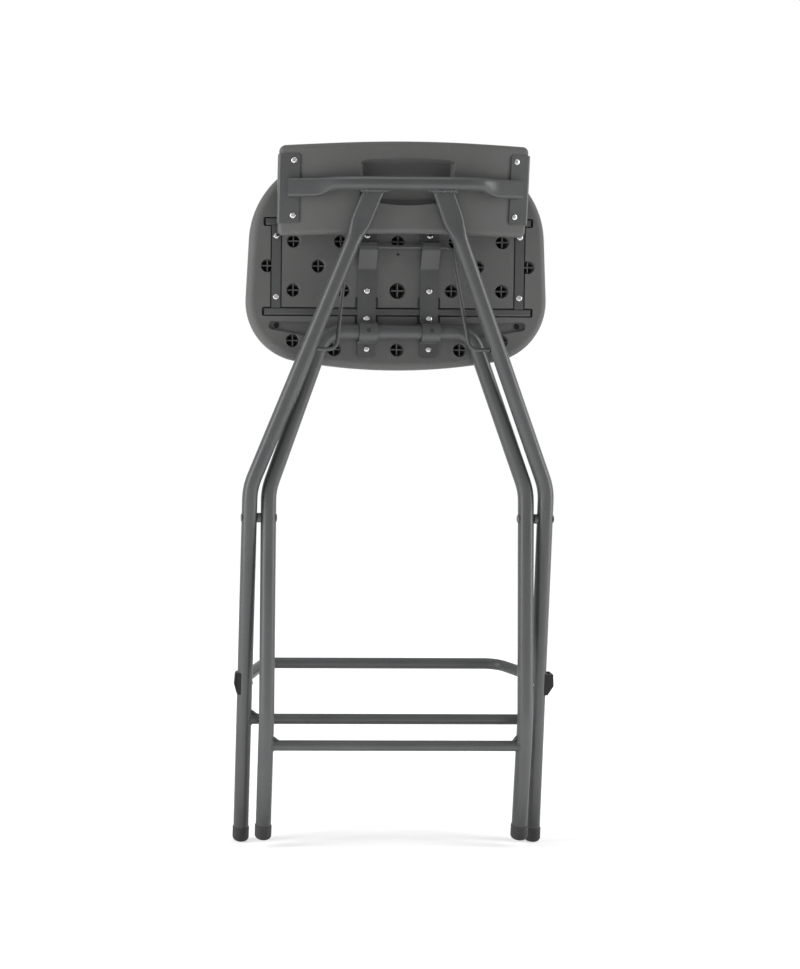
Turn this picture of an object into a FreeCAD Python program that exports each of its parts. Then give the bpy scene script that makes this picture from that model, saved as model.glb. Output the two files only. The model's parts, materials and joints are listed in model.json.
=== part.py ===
import FreeCAD, Part
import math
import os

import Sketcher
from FreeCAD import Placement, Rotation, Vector

# A folding bar stool, folded flat, in millimetres. +X is to the right seen from behind, +Y is
# the way a sitter faces and +Z is up. The origin is under the middle of the box that holds it.
# Two frames of steel tube cross at a rivet on each side. Each frame, the seat and the wire link
# is drawn in its own plane, whose local z runs up along it and whose local y is towards the front.

SIZES = (
    ("front_lean", 6.4, "degrees that the front frame's top leans back"),
    ("rear_lean", 0.8, "degrees that the rear frame's top leans forward"),
    ("seat_lean", 0.9, "degrees that the seat's rear edge leans back"),
    ("leg_tube", 25.4, "outer diameter of the leg tubes"),
    ("leg_wall", 1.5, "wall of the leg tubes"),
    ("front_leg_below", 555.4, "front foot to pivot, along the leg"),
    ("front_foot_spread", 249.0, "front foot from the middle"),
    ("front_bend_up", 50.0, "front leg's bend above the pivot"),
    ("front_bend_spread", 245.0, "front leg's bend from the middle"),
    ("front_bend_radius", 100.0, "radius of the front leg's bend"),
    ("front_top_spread", 51.5, "front leg's top from the middle"),
    ("flat_width", 33.0, "width of a leg's flattened top"),
    ("flat_thickness", 12.0, "thickness of a leg's flattened top"),
    ("flat_blend", 42.0, "length over which a leg's top goes flat"),
    ("flat_length", 100.0, "whole length of a leg's flattened top"),
    ("back_bar_up", 543.0, "backrest's crossbar above the pivot"),
    ("back_bar_tube", 22.2, "diameter of the backrest's crossbar"),
    ("back_bar_wall", 1.5, "wall of the backrest's crossbar"),
    ("back_bar_set", -5.6, "middle of the crossbar in front of the legs"),
    ("back_bar_bend", 240.0, "radius of the crossbar's bends"),
    ("bar_end_height", 30.0, "height of the crossbar's flattened ends"),
    ("bar_end_thickness", 12.0, "thickness of the crossbar's flattened ends"),
    ("bar_end_drop", 6.0, "flattened ends below the crossbar's middle"),
    ("bar_end_blend", 36.0, "length over which the crossbar's end goes flat"),
    ("bar_end_inside", 36.0, "flat end inside the bracket's middle"),
    ("bar_end_outside", 8.0, "flat end outside the bracket's middle"),
    ("panel_half", 203.0, "half the backrest's width"),
    ("panel_bottom", 463.5, "backrest's lower edge above the pivot"),
    ("panel_top", 609.0, "backrest's upper edge above the pivot"),
    ("panel_crown", 3.0, "rise of the backrest's long edges"),
    ("panel_corner", 10.0, "corner radius of the backrest"),
    ("panel_back", 6.0, "middle of the backrest's rear face in front of the legs"),
    ("panel_thickness", 26.0, "thickness of the backrest in the middle"),
    ("panel_wrap", 30.0, "how far the rear face's ends come forward"),
    ("panel_front_wrap", 25.0, "how far the front face's ends come forward"),
    ("panel_edge", 8.0, "rounding of the backrest's edges"),
    ("grip_half", 80.0, "half the width of the finger recess"),
    ("grip_bottom", 514.0, "finger recess's lower edge above the pivot"),
    ("grip_top", 584.0, "finger recess's upper edge above the pivot"),
    ("grip_depth", 12.0, "depth of the finger recess"),
    ("grip_taper", 38.0, "degrees that the recess's walls slope"),
    ("grip_corner", 9.0, "corner radius of the finger recess"),
    ("plate", 2.0, "thickness of the backrest's brackets"),
    ("plate_inner", 171.5, "bracket's inner edge from the middle"),
    ("plate_spread", 180.4, "bracket's screws from the middle"),
    ("plate_fit", 0.2, "play between a bracket's flange and the panel's end"),
    ("plate_flange", 11.0, "length of the bracket's folded edge"),
    ("plate_turn", 75.0, "degrees of the bracket's fold"),
    ("plate_bottom", 481.0, "bracket's lower edge above the pivot"),
    ("plate_top", 591.5, "bracket's upper edge above the pivot"),
    ("plate_corner", 5.0, "corner radius of the brackets"),
    ("plate_screw_low", 493.0, "bracket's lower screw above the pivot"),
    ("plate_screw_high", 581.0, "bracket's upper screw above the pivot"),
    ("screw_shank", 4.0, "diameter of the screws"),
    ("screw_length", 13.0, "length of the screws under the head"),
    ("screw_head", 9.4, "diameter of the screw heads"),
    ("screw_rise", 2.4, "height of the screw heads"),
    ("rail_tube", 17.5, "diameter of the lower rails"),
    ("rail_wall", 1.2, "wall of the foot rails"),
    ("bow_tube", 19.0, "diameter of the bowed foot rail"),
    ("bow_down", 269.5, "bowed foot rail below the pivot"),
    ("bow_depth", 90.0, "bowed foot rail in front of the legs"),
    ("bow_half", 244.0, "bowed foot rail's ends from the middle"),
    ("bow_inset", 41.0, "bowed foot rail's corners inside its ends"),
    ("bow_corner", 35.0, "radius of the bowed foot rail's corners"),
    ("front_rail_down", 342.5, "lower front rail below the pivot"),
    ("rear_foot_spread", 215.5, "rear foot from the middle"),
    ("rear_bend_up", 46.0, "rear frame's bend above the pivot"),
    ("rear_bend_spread", 213.5, "rear frame's bend from the middle"),
    ("rear_bend_radius", 100.0, "radius of the rear frame's bend"),
    ("rear_top_up", 308.0, "rear frame's crossbar above the pivot"),
    ("rear_top_spread", 120.6, "rear frame's upper corner from the middle"),
    ("rear_top_radius", 38.0, "radius of the rear frame's upper corners"),
    ("rear_kink_down", 330.0, "rear frame's kink below the pivot"),
    ("rear_kink_turn", 9.0, "degrees of the rear frame's kink"),
    ("rear_kink_radius", 150.0, "radius of the rear frame's kink"),
    ("rear_foot_length", 211.7, "rear foot to the kink"),
    ("rear_rail_up", 163.2, "rear rail above the rear foot, along the leg"),
    ("cap_width", 27.8, "diameter of the foot caps"),
    ("cap_height", 25.0, "height of the foot caps"),
    ("cap_floor", 4.0, "thickness of a cap under the tube"),
    ("cap_flat", 6.0, "radius of the flat under a cap"),
    ("rivet_shank", 8.0, "diameter of the pivot rivets"),
    ("rivet_head", 13.6, "diameter of the pivot rivets' heads"),
    ("rivet_rise", 1.5, "thickness of the pivot rivets' heads"),
    ("rivet_fit", 0.05, "radial play of a rivet in its holes"),
    ("pivot_gap", 0.3, "play between pieces that turn on each other"),
    ("dimple_width", 15.0, "diameter of the dimples at the rivets"),
    ("dimple_depth", 0.9, "depth of the dimples at the rivets"),
    ("spacer_width", 16.0, "diameter of the spacers between the frames"),
    ("clip_down", 280.0, "middle of the side clips below the pivot"),
    ("clip_height", 36.0, "height of the side clips"),
    ("clip_foot", 0.8, "how far a side clip's foot stands out of the leg"),
    ("clip_bulge_down", 2.0, "widest place of a side clip below its middle"),
    ("clip_draft", 1.5, "how far a side clip draws in from there to its top"),
    ("clip_play", 0.1, "play between a side clip and the leg"),
    ("clip_width", 21.0, "width of the side clips, front to back"),
    ("clip_lap", 9.0, "how far a side clip laps round the leg"),
    ("hook_out", 5.5, "how far the left clip stands out of the leg"),
    ("socket_out", 10.5, "how far the right clip stands out of the leg"),
    ("tongue_width", 11.0, "width of the left clip's tongue"),
    ("tongue_thickness", 4.0, "thickness of the left clip's tongue"),
    ("clip_wall", 1.6, "wall between the leg and the right clip's slot"),
    ("slot_depth", 25.0, "depth of the right clip's slot"),
    ("tongue_play", 0.6, "play of a tongue in the right clip's slot"),
    ("clip_rivet", 4.0, "diameter of the side clips' rivets"),
    ("clip_rivet_head", 7.0, "diameter of the side clips' rivet heads"),
    ("clip_rivet_rise", 1.6, "height of the side clips' rivet heads"),
    ("clip_rivet_turn", 28.0, "degrees of the right clip's rivet off the leg's side"),
    ("hook_rivet_turn", 6.0, "degrees of the left clip's rivet off the leg's side"),
    ("clip_rivet_grip", 1.5, "how far a clip rivet enters the clip"),
    ("seat_standoff", 9.0, "seat's underside from the crossbar's axis"),
    ("seat_thickness", 34.0, "thickness of the seat"),
    ("seat_front", 65.5, "seat's front edge below the crossbar's axis"),
    ("seat_bow", 9.6, "how far the front edge's middle stands out"),
    ("seat_bow_radius", 940.0, "radius of the front edge's bow"),
    ("seat_rear", 292.0, "seat's rear edge above the crossbar's axis"),
    ("seat_front_half", 254.4, "half the seat's width at the front corners"),
    ("seat_rear_half", 239.0, "half the seat's width at the rear corners"),
    ("seat_front_radius", 101.0, "radius of the seat's front corners"),
    ("seat_rear_radius", 143.0, "radius of the seat's rear corners"),
    ("seat_edge", 12.0, "rounding of the seat's edges"),
    ("bar_groove", 15.0, "width of the grooves for the seat's bars"),
    ("groove_end_play", 4.0, "play of a bar's end in its groove"),
    ("bar_height", 12.0, "width of the seat's bars"),
    ("bar_depth", 9.0, "depth of the seat's bars"),
    ("bar_round", 3.0, "corner radius of the seat's bars"),
    ("rear_bar_up", 181.5, "rear bar above the crossbar's axis"),
    ("rear_bar_half", 220.0, "half the rear bar's length"),
    ("front_bar_up", 33.4, "front bar above the crossbar's axis"),
    ("front_bar_half", 221.5, "half the front bar's length"),
    ("side_bar_spread", 202.3, "side bars from the middle"),
    ("side_bar_width", 15.0, "width of the side bars"),
    ("side_bar_thickness", 3.0, "thickness of the side bars"),
    ("side_slit", 2.0, "width of the slits beside the side bars"),
    ("side_slit_depth", 8.0, "depth of the slits beside the side bars"),
    ("side_screw_low", 57.4, "side bars' lower screws above the axis"),
    ("side_screw_high", 158.0, "side bars' upper screws above the axis"),
    ("strap_spread", 51.8, "straps from the middle"),
    ("strap_width", 30.0, "width of the straps"),
    ("strap_thickness", 2.5, "thickness of the straps"),
    ("strap_top", 168.0, "straps' upper ends above the axis"),
    ("strap_bottom", 42.4, "straps' lower ends below the axis"),
    ("strap_corner", 6.0, "corner radius of the straps' ends"),
    ("hump_fade", 31.0, "slope of a strap's upper hump, lengthwise"),
    ("strap_screw_top", 158.6, "straps' first screws above the axis"),
    ("strap_screw_upper", 67.7, "straps' second screws above the axis"),
    ("strap_screw_lower", 22.0, "straps' third screws above the axis"),
    ("strap_screw_bottom", 28.0, "straps' last screws below the axis"),
    ("link_wire", 6.4, "diameter of the link's wire"),
    ("link_high_up", 139.6, "link's upper bar above the crossbar's axis"),
    ("link_low_up", 278.0, "link's lower ends above the pivot"),
    ("link_high_half", 86.0, "link's upper corners from the middle"),
    ("link_low_half", 109.0, "link's lower bends from the middle"),
    ("link_end_half", 141.0, "link's ends from the middle"),
    ("link_high_radius", 13.0, "radius of the link's upper corners"),
    ("link_low_radius", 15.0, "radius of the link's lower bends"),
    ("link_hole", 7.4, "diameter of the holes for the link's ends"),
    ("pit_depth", 22.0, "depth of the moulded pits"),
    ("pit_width", 23.0, "diameter of a pit's mouth"),
    ("pit_middle_width", 28.0, "diameter of the middle pit's mouth"),
    ("pit_taper", 14.0, "degrees that a pit's wall slopes"),
    ("pit_high", 150.0, "upper row of pits above the axis"),
    ("pit_middle", 109.0, "middle row of pits above the axis"),
    ("pit_low", 69.0, "lower row of pits above the axis"),
    ("pit_front", 14.5, "outer front pits below the axis"),
    ("pit_front_middle", 28.5, "inner front pits below the axis"),
    ("pit_spread_high", 95.0, "upper row's inner pits from the middle"),
    ("pit_spread_low", 90.0, "lower row's inner pits from the middle"),
    ("pit_spread_outer", 173.5, "outer pits from the middle"),
    ("pit_spread_middle", 132.0, "middle row's inner pits from the middle"),
    ("pit_spread_edge", 216.5, "pits beside the side bars from the middle"),
    ("pit_spread_front", 105.0, "inner front pits from the middle"),
    ("relief_depth", 5.0, "depth of the tapered relief at the crossbar"),
    ("relief_half", 207.0, "end of the tapered relief from the middle"),
    ("relief_end_up", 11.0, "end of the tapered relief above the axis"),
    ("relief_end_radius", 6.6, "radius of the tapered relief's end"),
    ("relief_wide_half", 115.0, "wide part of the relief from the middle"),
    ("tube_play", 0.5, "play between the rear frame and the seat"),
    ("strap_pocket_play", 4.0, "pocket beside a strap at the front bar"),
    ("strap_pocket_half", 25.0, "half the length of that pocket"),
    ("strap_pocket_depth", 4.0, "depth of that pocket"),
    ("strap_play", 0.3, "play between the straps and what they hold"),
    ("vent_width", 4.0, "diameter of the seat's vent hole"),
    ("vent_up", 128.7, "seat's vent hole above the axis"),
)

doc = FreeCAD.newDocument("folding_bar_stool")
table = doc.addObject("Spreadsheet::Sheet", "Sizes")
for row, (alias, value, meaning) in enumerate(SIZES, start=1):
    table.set(f"A{row}", meaning)
    table.set(f"B{row}", str(value))
    table.setAlias(f"B{row}", alias)
doc.recompute()


def size(alias):
    """A driving dimension, read back from the sheet."""
    return float(getattr(table, alias))


pieces = []


def keep(piece, label, place=None):
    """Name a finished sub-part, put it in its place and keep it for the export."""
    piece.Label = label
    if place is not None:
        piece.Placement = place
    pieces.append(piece)
    return piece


def shaped(shape, label, place):
    """A sub-part whose shape is worked out here."""
    piece = doc.addObject("Part::Feature", label)
    piece.Shape = shape
    return keep(piece, label, place)


def flat(x, y):
    """A point of a sketch."""
    return Vector(x, y, 0)


# Lines, tubes and bands

def rounded(corners, closed=False):
    """Lines through the corners, a point and a radius each, with a tangent arc at each one."""
    count = len(corners)
    turns = []
    for index, (point, radius) in enumerate(corners):
        if radius == 0 or (not closed and index in (0, count - 1)):
            turns.append((point, point, point))
            continue
        back = (corners[index - 1][0] - point).normalize()
        ahead = (corners[(index + 1) % count][0] - point).normalize()
        half_turn = (math.pi - back.getAngle(ahead)) / 2
        reach = radius * math.tan(half_turn)
        rise = radius / math.cos(half_turn) - radius
        middle = point + (back + ahead).normalize() * rise
        turns.append((point + back * reach, middle, point + ahead * reach))
    run = []
    for index, (entry, middle, leave) in enumerate(turns):
        if entry != leave:
            run.append(Part.Arc(entry, middle, leave))
        if index < count - 1 or closed:
            following = turns[(index + 1) % count][0]
            if leave.distanceToPoint(following) > 1e-6:
                run.append(Part.LineSegment(leave, following))
    return run


def rod(corners, radius):
    """A solid round rod along the corners."""
    spine = Part.Wire([line.toShape() for line in rounded(corners)])
    start = corners[0][0]
    ring = Part.Wire(Part.makeCircle(radius, start, corners[1][0] - start))
    return spine.makePipeShell([ring], True, False)


def flat_ring(centre, along, across, half_width, half_thickness, corner_width, corner_thickness):
    """A closed section of four arcs, round or flattened."""
    through = along.cross(across)

    def at(wide, thick):
        return centre + across * wide + through * thick

    arcs = (
        (at(corner_width, -corner_thickness), at(half_width, 0), at(corner_width, corner_thickness)),
        (at(corner_width, corner_thickness), at(0, half_thickness), at(-corner_width, corner_thickness)),
        (at(-corner_width, corner_thickness), at(-half_width, 0), at(-corner_width, -corner_thickness)),
        (at(-corner_width, -corner_thickness), at(0, -half_thickness), at(corner_width, -corner_thickness)),
    )
    return Part.Wire([Part.Arc(*points).toShape() for points in arcs])


def flattened(start, along, across, radius, half_width, half_thickness, blend, length, shift=Vector()):
    """A round rod's end that goes flat and moves by the shift over the blend, then runs straight."""
    bulge = half_thickness / 15
    round_corner = radius * math.sqrt(0.5)
    rings = []
    for share in (0, 0.25, 0.5, 0.75, 1):
        ease = share * share * (3 - 2 * share)
        sizes = [
            before + ease * (after - before) for before, after in (
                (radius, half_width),
                (radius, half_thickness),
                (round_corner, half_width - half_thickness),
                (round_corner, half_thickness - bulge),
            )
        ]
        middle = start + along * (blend * share) + shift * ease
        rings.append(flat_ring(middle, along, across, *sizes))
    blended = Part.makeLoft(rings, True)
    straight = Part.Face(rings[-1]).extrude(along * (length - blend))
    return blended.fuse(straight)


def band(corners, thickness):
    """The outline of a bent strip, from its middle line's corners and radii."""
    sides = ([], [])
    count = len(corners)
    for index, (point, radius) in enumerate(corners):
        before = point - corners[index - 1][0] if index > 0 else None
        after = corners[index + 1][0] - point if index < count - 1 else None
        before = (before or after).normalize()
        after = (after or before).normalize()
        left = Vector(-before.y - after.y, before.x + after.x, 0).normalize()
        across = left * (thickness / 2 / left.dot(Vector(-before.y, before.x, 0)))
        turning_left = before.x * after.y - before.y * after.x > 0
        inside = radius - thickness / 2
        outside = radius + thickness / 2
        sides[0].append((point + across, (inside if turning_left else outside) if radius else 0))
        sides[1].append((point - across, (outside if turning_left else inside) if radius else 0))
    return rounded(sides[0] + sides[1][::-1], closed=True)


# Bodies and their features

def body(label, place=None):
    """A body that becomes one sub-part."""
    return keep(doc.addObject("PartDesign::Body", label), label, place)


def sketch(owner, plane, loops, offset=0.0):
    """A sketch on one of the body's own planes, of closed loops or circles."""
    drawing = owner.newObject("Sketcher::SketchObject", "Sketch")
    support = next(item for item in owner.Origin.OriginFeatures if item.Role == plane)
    drawing.AttachmentSupport = [(support, "")]
    drawing.MapMode = "FlatFace"
    drawing.AttachmentOffset = Placement(Vector(0, 0, offset), Rotation())
    for loop in loops:
        first = drawing.GeometryCount
        drawing.addGeometry(loop, False)
        if len(loop) > 1:
            join(drawing, first, len(loop))
    return drawing


def join(drawing, first, count):
    """Tie each line of a closed loop to the next one's near end."""
    for step in range(count):
        one = first + step
        other = first + (step + 1) % count
        pairs = [(a, b) for a in (1, 2) for b in (1, 2)]
        near = min(pairs, key=lambda ends: drawing.getPoint(one, ends[0]).distanceToPoint(
            drawing.getPoint(other, ends[1])))
        drawing.addConstraint(Sketcher.Constraint("Coincident", one, near[0], other, near[1]))


def circle(x, y, radius):
    """A loop of one circle."""
    return [Part.Circle(flat(x, y), Vector(0, 0, 1), radius)]


def box_loop(low_x, low_y, high_x, high_y, radius=0.0):
    """A rectangle with rounded corners."""
    corners = ((low_x, low_y), (high_x, low_y), (high_x, high_y), (low_x, high_y))
    return rounded([(flat(x, y), radius) for x, y in corners], closed=True)


def pad(owner, drawing, length, symmetric=False):
    """Thicken a sketch by a length given as an expression."""
    feature = owner.newObject("PartDesign::Pad", "Pad")
    feature.Profile = drawing
    feature.SideType = "Symmetric" if symmetric else "One side"
    feature.setExpression("Length", length)
    doc.recompute()
    return feature


def pocket(owner, drawing, depth=None, taper=None):
    """Cut a sketch to a depth given as an expression, or right through both ways."""
    feature = owner.newObject("PartDesign::Pocket", "Pocket")
    feature.Profile = drawing
    if depth is None:
        feature.Type = "ThroughAll"
        feature.SideType = "Symmetric"
    else:
        feature.setExpression("Length", depth)
    if taper is not None:
        feature.setExpression("TaperAngle", taper)
    doc.recompute()
    return feature


def fillet(owner, base, radius, chosen):
    """Round the edges of the base feature that the test picks."""
    names = [f"Edge{number}" for number, edge in enumerate(base.Shape.Edges, start=1) if chosen(edge)]
    feature = owner.newObject("PartDesign::Fillet", "Fillet")
    feature.Base = (base, names)
    feature.setExpression("Radius", radius)
    doc.recompute()
    return feature


def turned(owner, loop):
    """Turn a sketch in the body's XZ plane about its Z axis."""
    drawing = sketch(owner, "XZ_Plane", [loop])
    feature = owner.newObject("PartDesign::Revolution", "Revolution")
    feature.Profile = drawing
    feature.ReferenceAxis = (drawing, ["V_Axis"])
    feature.Angle = 360
    doc.recompute()
    return feature


def tilted(origin, lean):
    """A plane whose upward axis leans back by so many degrees."""
    return Placement(origin, Rotation(Vector(1, 0, 0), lean))


def aimed(point, direction):
    """A place whose z axis points along a direction."""
    return Placement(point, Rotation(Vector(0, 0, 1), direction))


def mirrored(shape, side):
    """The right-hand shape, or its mirror image for side -1."""
    return shape if side > 0 else shape.mirror(Vector(0, 0, 0), Vector(1, 0, 0))


SIDES = (("left", -1), ("right", 1))

# Places of the planes. The pivot stands so high that the front caps touch the ground, and so far
# back that the box from the crossbar's back to the bowed rail's front is centred on the origin.

lean = math.radians(size("front_lean"))
cap_round = size("cap_width") / 2 - size("cap_flat")
cap_drop = cap_round * (1 - math.cos(lean)) + size("cap_flat") * math.sin(lean)
rear_most = (size("back_bar_set") * math.cos(lean) - size("back_bar_up") * math.sin(lean)
             - size("back_bar_tube") / 2)
front_most = (size("bow_depth") * math.cos(lean) + size("bow_down") * math.sin(lean)
              + size("bow_tube") / 2)
pivot = Vector(
    (size("hook_out") - size("socket_out")) / 2,
    -(rear_most + front_most) / 2,
    size("front_leg_below") * math.cos(lean) + cap_drop,
)
front = tilted(pivot, size("front_lean"))
rear = tilted(pivot, -size("rear_lean"))
seat = tilted(rear.multVec(Vector(0, 0, size("rear_top_up"))), size("seat_lean"))
link_low = front.multVec(Vector(0, 0, size("link_low_up")))
link_high = seat.multVec(Vector(0, 0, size("link_high_up")))
link_reach = link_high - link_low
link = tilted(link_low, math.degrees(math.atan2(-link_reach.y, link_reach.z)))

tube_radius = size("leg_tube") / 2

# Backrest's crossbar, bowed back in the middle, with flat ends on the brackets

panel_radius = (size("panel_half") ** 2 + size("panel_wrap") ** 2) / (2 * size("panel_wrap"))
plate_middle = size("plate_spread")
plate_fold = size("panel_half") + size("plate_fit") + size("plate") / 2
plate_angle = math.asin(plate_middle / panel_radius)
plate_along = Vector(math.cos(plate_angle), math.sin(plate_angle), 0)
plate_out = Vector(math.sin(plate_angle), -math.cos(plate_angle), 0)
plate_seat = Vector(plate_middle, size("panel_back") + panel_radius * (1 - math.cos(plate_angle)), 0)
up = Vector(0, 0, 1)
bar_up = up * size("back_bar_up")
bar_end = plate_seat + plate_out * (size("plate") + size("bar_end_thickness") / 2) + bar_up
bar_round_end = bar_end - plate_along * (size("bar_end_inside") + size("bar_end_blend"))
bar_bend_spread = bar_round_end.x - (bar_round_end.y - size("back_bar_set")) / math.tan(plate_angle)


def mirror_point(point):
    return Vector(-point.x, point.y, point.z)


def crossbar_rod(inset):
    """The crossbar's outside, or with the wall as inset its bore."""
    bend = Vector(bar_bend_spread, size("back_bar_set"), size("back_bar_up"))
    radius = size("back_bar_tube") / 2 - inset
    middle = rod([
        (mirror_point(bar_round_end), 0),
        (mirror_point(bend), size("back_bar_bend")),
        (bend, size("back_bar_bend")),
        (bar_round_end, 0),
    ], radius)
    end = flattened(
        bar_round_end, plate_along, up, radius,
        size("bar_end_height") / 2 - inset, size("bar_end_thickness") / 2 - inset,
        size("bar_end_blend"),
        size("bar_end_blend") + size("bar_end_inside") + size("bar_end_outside"),
        up * -size("bar_end_drop"),
    )
    return middle.fuse([end, mirrored(end, -1)])


back_bar_skin = crossbar_rod(0)
shaped(back_bar_skin.cut(crossbar_rod(size("back_bar_wall"))), "back_crossbar", front)

# Front legs, with flattened tops welded under the crossbar

front_foot = Vector(size("front_foot_spread"), 0, -size("front_leg_below"))
front_bend = Vector(size("front_bend_spread"), 0, size("front_bend_up"))
front_top = Vector(size("front_top_spread"), 0, size("back_bar_up"))
front_leg_way = (front_bend - front_foot).normalize()
front_top_way = (front_top - front_bend).normalize()


def front_leg_at(height):
    """How far the front leg's axis is from the middle at a height under its bend."""
    return front_foot.x + front_leg_way.x / front_leg_way.z * (height - front_foot.z)


def front_leg_rod(inset):
    """The right front leg's outside, or with the wall as inset its bore."""
    flat_start = front_top - front_top_way * size("flat_length")
    shaft = rod([
        (front_foot + front_leg_way * size("cap_floor"), 0),
        (front_bend, size("front_bend_radius")),
        (flat_start, 0),
    ], tube_radius - inset)
    top = flattened(
        flat_start, front_top_way, front_top_way.cross(Vector(0, 1, 0)), tube_radius - inset,
        size("flat_width") / 2 - inset, size("flat_thickness") / 2 - inset,
        size("flat_blend"), size("flat_length") - size("leg_wall"),
    )
    return shaft.fuse(top)


def sideways(radius, start, length, y=0.0, z=0.0):
    """A cylinder along X."""
    return Part.makeCylinder(radius, length, Vector(start, y, z), Vector(1, 0, 0))


front_leg_skin = front_leg_rod(0)
front_pivot_x = front_leg_at(0)
front_outer_flat = front_pivot_x + tube_radius - size("dimple_depth")
rivet_hole_radius = size("rivet_shank") / 2 + size("rivet_fit")
clip_x = front_leg_at(-size("clip_down"))
clip_rivet_radius = size("clip_rivet") / 2


def clip_place(side):
    """A place on a leg's axis, its z along the leg, at the side clips."""
    way = front_leg_way if side > 0 else Vector(-front_leg_way.x, 0, front_leg_way.z)
    return aimed(Vector(side * clip_x, 0, -size("clip_down")), way)


def clip_rivet_place(side):
    """The same place, its x running through the leg from a rivet's head to the clip."""
    turn = size("clip_rivet_turn") if side > 0 else 180 + size("hook_rivet_turn")
    return clip_place(side) * Placement(Vector(), Rotation(up, turn))


front_leg = front_leg_skin.cut([
    front_leg_rod(size("leg_wall")),
    back_bar_skin,
    sideways(rivet_hole_radius, front_pivot_x - 2 * tube_radius, 4 * tube_radius),
    sideways(size("dimple_width") / 2, front_outer_flat, tube_radius),
    sideways(size("link_hole") / 2, front_bend.x - size("leg_tube") * 5, size("leg_tube") * 2,
             z=size("link_low_up")),
])
for name, side in SIDES:
    rivet_hole = sideways(clip_rivet_radius, -2 * tube_radius, 4 * tube_radius)
    rivet_hole.Placement = clip_rivet_place(side) * rivet_hole.Placement
    shaped(mirrored(front_leg, side).cut(rivet_hole), f"front_leg_{name}", front)

# Foot rails of the front frame

both_front_skins = [front_leg_skin, mirrored(front_leg_skin, -1)]


def rail(corners, width, skins):
    """A foot rail along the corners, its ends shaped to the legs that it meets."""
    skin = rod(corners, width / 2)
    bore = rod(corners, width / 2 - size("rail_wall"))
    tube = skin.cut([bore] + skins)
    return max(tube.Solids, key=lambda solid: solid.Volume)


bow_end = Vector(size("bow_half"), 0, -size("bow_down"))
bow_turn = bow_end + Vector(-size("bow_inset"), size("bow_depth"), 0)
shaped(rail([
    (mirror_point(bow_end), 0),
    (mirror_point(bow_turn), size("bow_corner")),
    (bow_turn, size("bow_corner")),
    (bow_end, 0),
], size("bow_tube"), both_front_skins), "footrest_bow", front)

front_rail_x = front_leg_at(-size("front_rail_down"))
shaped(rail([
    (Vector(-front_rail_x, 0, -size("front_rail_down")), 0),
    (Vector(front_rail_x, 0, -size("front_rail_down")), 0),
], size("rail_tube"), both_front_skins), "front_lower_rail", front)

# Rear frame, one tube bent into an upside-down U, and its rail

kink_turn = math.radians(size("rear_kink_turn"))
rear_upper = size("rear_kink_down") + size("rear_bend_up")
rear_lower_share = size("rear_foot_length") / (size("rear_foot_length") + rear_upper)
rear_spread_change = size("rear_foot_spread") - size("rear_bend_spread")
rear_top = Vector(size("rear_top_spread"), 0, size("rear_top_up"))
rear_bend = Vector(size("rear_bend_spread"), 0, size("rear_bend_up"))
rear_kink = Vector(
    size("rear_foot_spread") - rear_spread_change * rear_lower_share, 0, -size("rear_kink_down"))
rear_foot = Vector(
    size("rear_foot_spread"),
    size("rear_foot_length") * math.sin(kink_turn),
    rear_kink.z - size("rear_foot_length") * math.cos(kink_turn),
)
rear_foot_way = (rear_kink - rear_foot).normalize()
rear_pivot_x = rear_bend.x + (rear_kink.x - rear_bend.x) * size("rear_bend_up") / rear_upper


def rear_corners(foot_inset):
    """The rear tube's corners and radii, from one foot round to the other."""
    half = [
        (rear_foot + rear_foot_way * foot_inset, 0),
        (rear_kink, size("rear_kink_radius")),
        (rear_bend, size("rear_bend_radius")),
        (rear_top, size("rear_top_radius")),
    ]
    return [(mirror_point(point), radius) for point, radius in half] + half[::-1]


rear_skin = rod(rear_corners(size("cap_floor")), tube_radius)
rear_bore = rod(rear_corners(size("cap_floor")), tube_radius - size("leg_wall"))
rear_inner_flat = rear_pivot_x - tube_radius + size("dimple_depth")
rear_cuts = [rear_bore]
for name, side in SIDES:
    hole = sideways(rivet_hole_radius, rear_pivot_x - 2 * tube_radius, 4 * tube_radius)
    dimple = sideways(size("dimple_width") / 2, rear_inner_flat - tube_radius, tube_radius)
    rear_cuts += [mirrored(hole, side), mirrored(dimple, side)]
shaped(rear_skin.cut(rear_cuts), "rear_frame_tube", rear)

rear_rail_end = rear_foot + rear_foot_way * size("rear_rail_up")
shaped(rail([
    (mirror_point(rear_rail_end), 0),
    (rear_rail_end, 0),
], size("rail_tube"), [rear_skin]), "rear_rail", rear)

# Foot caps, cups of rubber with a rounded bottom

def foot_cap(label, plane, foot, way, side):
    if side < 0:
        foot = mirror_point(foot)
        way = mirror_point(way)
    cap = body(label, plane * aimed(foot, way))
    outer = size("cap_width") / 2
    turned(cap, rounded([
        (flat(0, 0), 0),
        (flat(outer, 0), cap_round),
        (flat(outer, size("cap_height")), size("leg_wall") / 2),
        (flat(tube_radius, size("cap_height")), 0),
        (flat(tube_radius, size("cap_floor")), 0),
        (flat(0, size("cap_floor")), 0),
    ], closed=True))


for name, side in SIDES:
    foot_cap(f"front_foot_cap_{name}", front, front_foot, front_leg_way, side)
    foot_cap(f"rear_foot_cap_{name}", rear, rear_foot, rear_foot_way, side)

# Pivot rivets through both frames, and the spacers between the frames

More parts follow.
